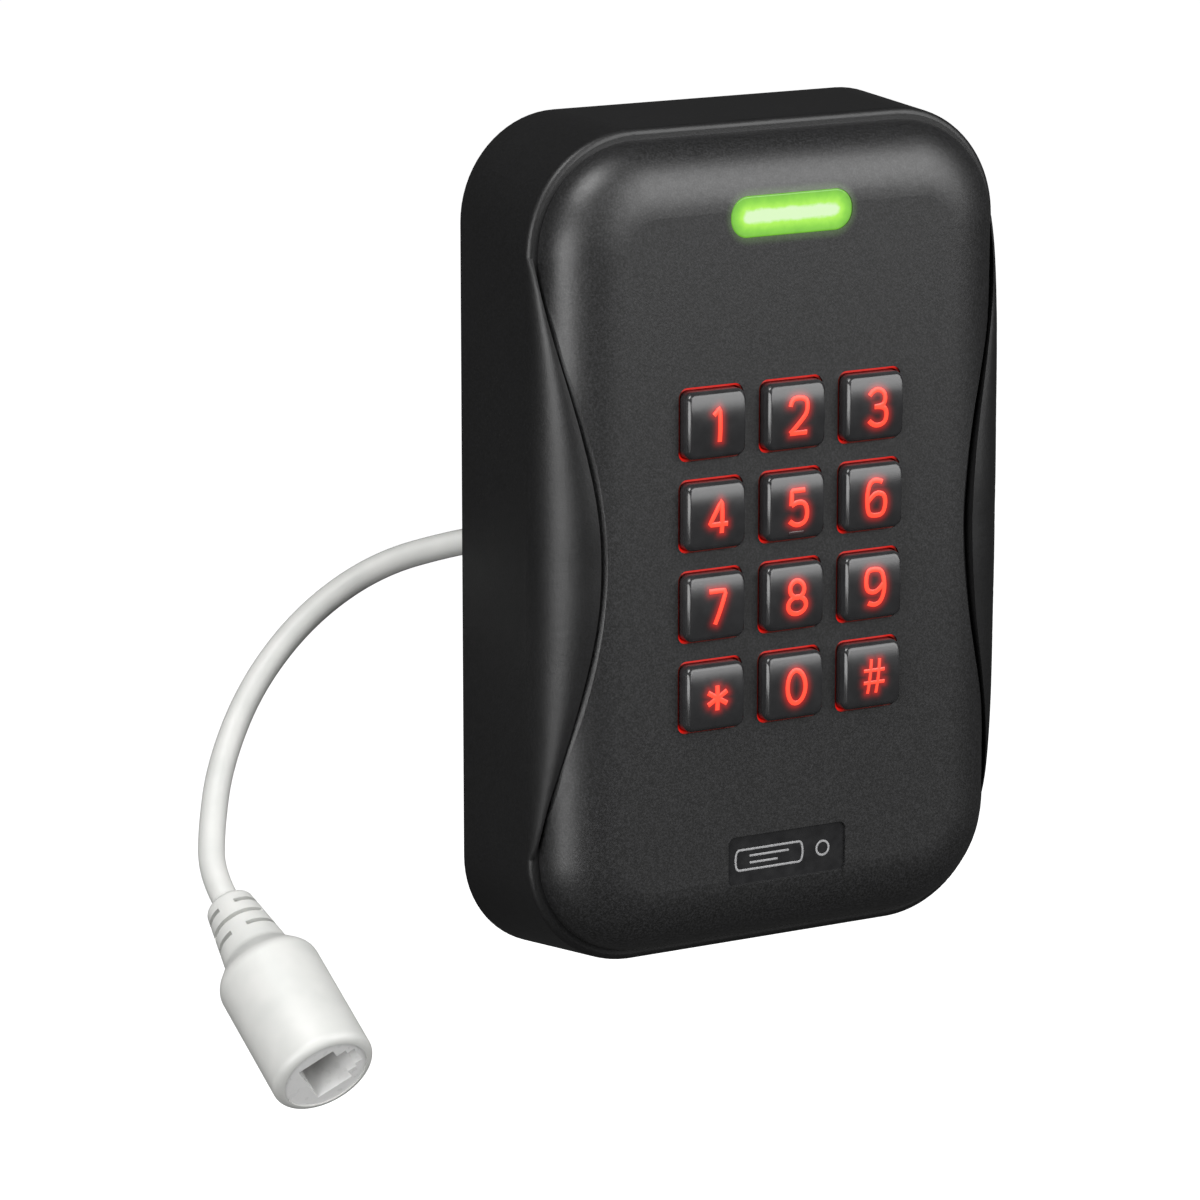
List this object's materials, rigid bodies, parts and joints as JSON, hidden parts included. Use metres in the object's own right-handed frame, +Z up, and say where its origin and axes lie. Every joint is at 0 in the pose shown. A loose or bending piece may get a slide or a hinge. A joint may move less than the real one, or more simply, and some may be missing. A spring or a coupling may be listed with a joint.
{
  "type": "keypad access reader",
  "caption": "Wall-mounted card and keypad reader with a pillow-shaped front, lit push keys, a status light bar, a wall plate and a short lead that ends in a socket.",
  "frame": {"origin": "centre of the wall plate's back face, where the reader meets the wall, and centre of its pair of vertical wall slots", "axes": "+X to the right as seen from the front, +Y into the wall, +Z up"},
  "size_m": [0.1317, 0.0642, 0.1403],
  "materials": {
    "shell_plastic": "fine matt texture, black",
    "panel_plastic": "fine speckled texture, charcoal",
    "key_plastic": "satin, dark grey, lit legends",
    "guide_red": "translucent red, lit",
    "bar_green": "translucent diffuser, lit green",
    "badge": "smooth dark grey",
    "silicone": "soft silicone",
    "steel": "zinc-plated steel",
    "dome_steel": "stamped spring steel",
    "board": "green solder mask",
    "led": "moulded LED package",
    "copper": "enamelled copper",
    "ferrite": "sintered ferrite",
    "chip": "moulded epoxy package",
    "potting": "cast epoxy, black",
    "gasket": "closed-cell foam",
    "magnet": "nickel-plated",
    "lead_grey": "soft PVC, light grey",
    "insert_white": "white moulded plastic",
    "gold": "gold-plated contacts",
    "wire": "insulated wire"
  },
  "bodies": {
    "housing": {"outer_shell": "shell_plastic", "front_panel": "panel_plastic", "light_bar": "bar_green", "badge_plate": "badge", "key_light_frame": "guide_red", "keypad_mat": "silicone", "snap_domes": "dome_steel", "key_lights": "led", "status_lights": "led", "main_board": "board", "antenna_coil": "copper", "ferrite_ring": "ferrite", "radio_module": "steel", "processor": "chip", "power_module": "chip", "buzzer": "chip", "tamper_sensor": "chip", "cable_header": "insert_white", "lead_plug": "insert_white", "inner_leads": "wire", "board_screws": "steel", "cover_screws": "steel", "security_screw": "steel", "rear_cover": "shell_plastic", "cover_gasket": "gasket", "potting_fill": "potting", "mounting_plate": "steel", "tamper_magnet": "magnet", "cable_gland": "lead_grey", "cable": "lead_grey", "connector_boot": "lead_grey", "jack_insert": "insert_white", "jack_contacts": "gold"},
    "key_1_cap": {"key_1": "key_plastic"},
    "key_2_cap": {"key_2": "key_plastic"},
    "key_3_cap": {"key_3": "key_plastic"},
    "key_4_cap": {"key_4": "key_plastic"},
    "key_5_cap": {"key_5": "key_plastic"},
    "key_6_cap": {"key_6": "key_plastic"},
    "key_7_cap": {"key_7": "key_plastic"},
    "key_8_cap": {"key_8": "key_plastic"},
    "key_9_cap": {"key_9": "key_plastic"},
    "key_star_cap": {"key_star": "key_plastic"},
    "key_0_cap": {"key_0": "key_plastic"},
    "key_hash_cap": {"key_hash": "key_plastic"}
  },
  "joints": [
    {"name": "key_1_press", "type": "slide", "parent": "housing", "child": "key_1_cap", "axis": [0, 1, 0], "range_m": [0, 0.0008], "stiffness_N_per_m": 700},
    {"name": "key_2_press", "type": "slide", "parent": "housing", "child": "key_2_cap", "axis": [0, 1, 0], "range_m": [0, 0.0008], "stiffness_N_per_m": 700},
    {"name": "key_3_press", "type": "slide", "parent": "housing", "child": "key_3_cap", "axis": [0, 1, 0], "range_m": [0, 0.0008], "stiffness_N_per_m": 700},
    {"name": "key_4_press", "type": "slide", "parent": "housing", "child": "key_4_cap", "axis": [0, 1, 0], "range_m": [0, 0.0008], "stiffness_N_per_m": 700},
    {"name": "key_5_press", "type": "slide", "parent": "housing", "child": "key_5_cap", "axis": [0, 1, 0], "range_m": [0, 0.0008], "stiffness_N_per_m": 700},
    {"name": "key_6_press", "type": "slide", "parent": "housing", "child": "key_6_cap", "axis": [0, 1, 0], "range_m": [0, 0.0008], "stiffness_N_per_m": 700},
    {"name": "key_7_press", "type": "slide", "parent": "housing", "child": "key_7_cap", "axis": [0, 1, 0], "range_m": [0, 0.0008], "stiffness_N_per_m": 700},
    {"name": "key_8_press", "type": "slide", "parent": "housing", "child": "key_8_cap", "axis": [0, 1, 0], "range_m": [0, 0.0008], "stiffness_N_per_m": 700},
    {"name": "key_9_press", "type": "slide", "parent": "housing", "child": "key_9_cap", "axis": [0, 1, 0], "range_m": [0, 0.0008], "stiffness_N_per_m": 700},
    {"name": "key_star_press", "type": "slide", "parent": "housing", "child": "key_star_cap", "axis": [0, 1, 0], "range_m": [0, 0.0008], "stiffness_N_per_m": 700},
    {"name": "key_0_press", "type": "slide", "parent": "housing", "child": "key_0_cap", "axis": [0, 1, 0], "range_m": [0, 0.0008], "stiffness_N_per_m": 700},
    {"name": "key_hash_press", "type": "slide", "parent": "housing", "child": "key_hash_cap", "axis": [0, 1, 0], "range_m": [0, 0.0008], "stiffness_N_per_m": 700}
  ]
}
